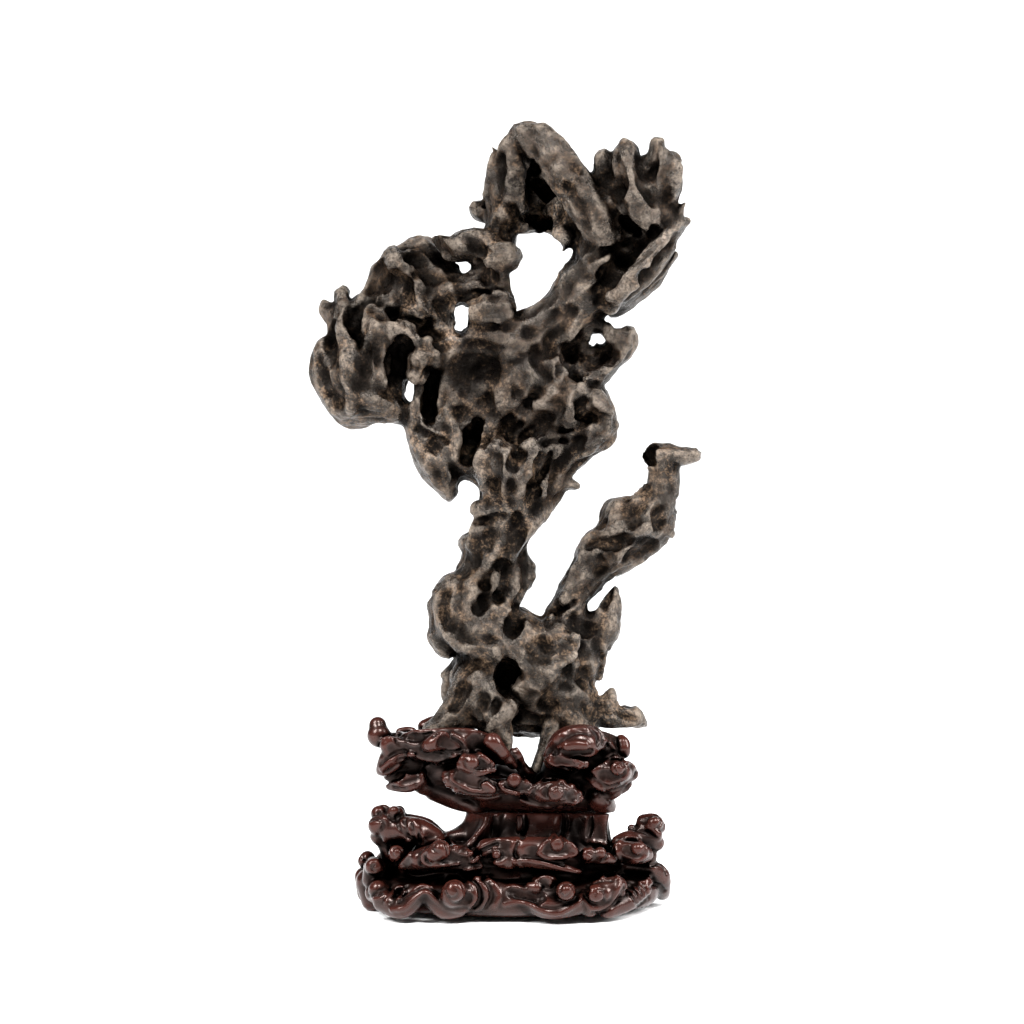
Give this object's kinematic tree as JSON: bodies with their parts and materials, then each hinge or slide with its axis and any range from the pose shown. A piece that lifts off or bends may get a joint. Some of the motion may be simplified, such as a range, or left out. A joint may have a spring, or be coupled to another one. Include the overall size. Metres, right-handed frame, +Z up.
{
  "type": "scholars rock",
  "caption": "Tall worn grey-brown limestone, branching and pierced, set on a carved dark hardwood stand of cloud lobes and round knobs.",
  "frame": {"origin": "middle of the underside of the box around the whole piece, on the surface it stands on", "axes": "+Z up, +X to the viewer's right, +Y away from the viewer; the front faces -Y"},
  "size_m": [0.2944, 0.1486, 0.5967],
  "materials": {
    "stone": "worn limestone, dark grey-brown with tan mottling, satin on the crests",
    "stand_wood": "dark reddish-brown hardwood, carved, waxed and polished"
  },
  "bodies": {
    "root": {"stone": "stone", "stand_top": "stand_wood", "stand_base": "stand_wood"}
  },
  "joints": []
}
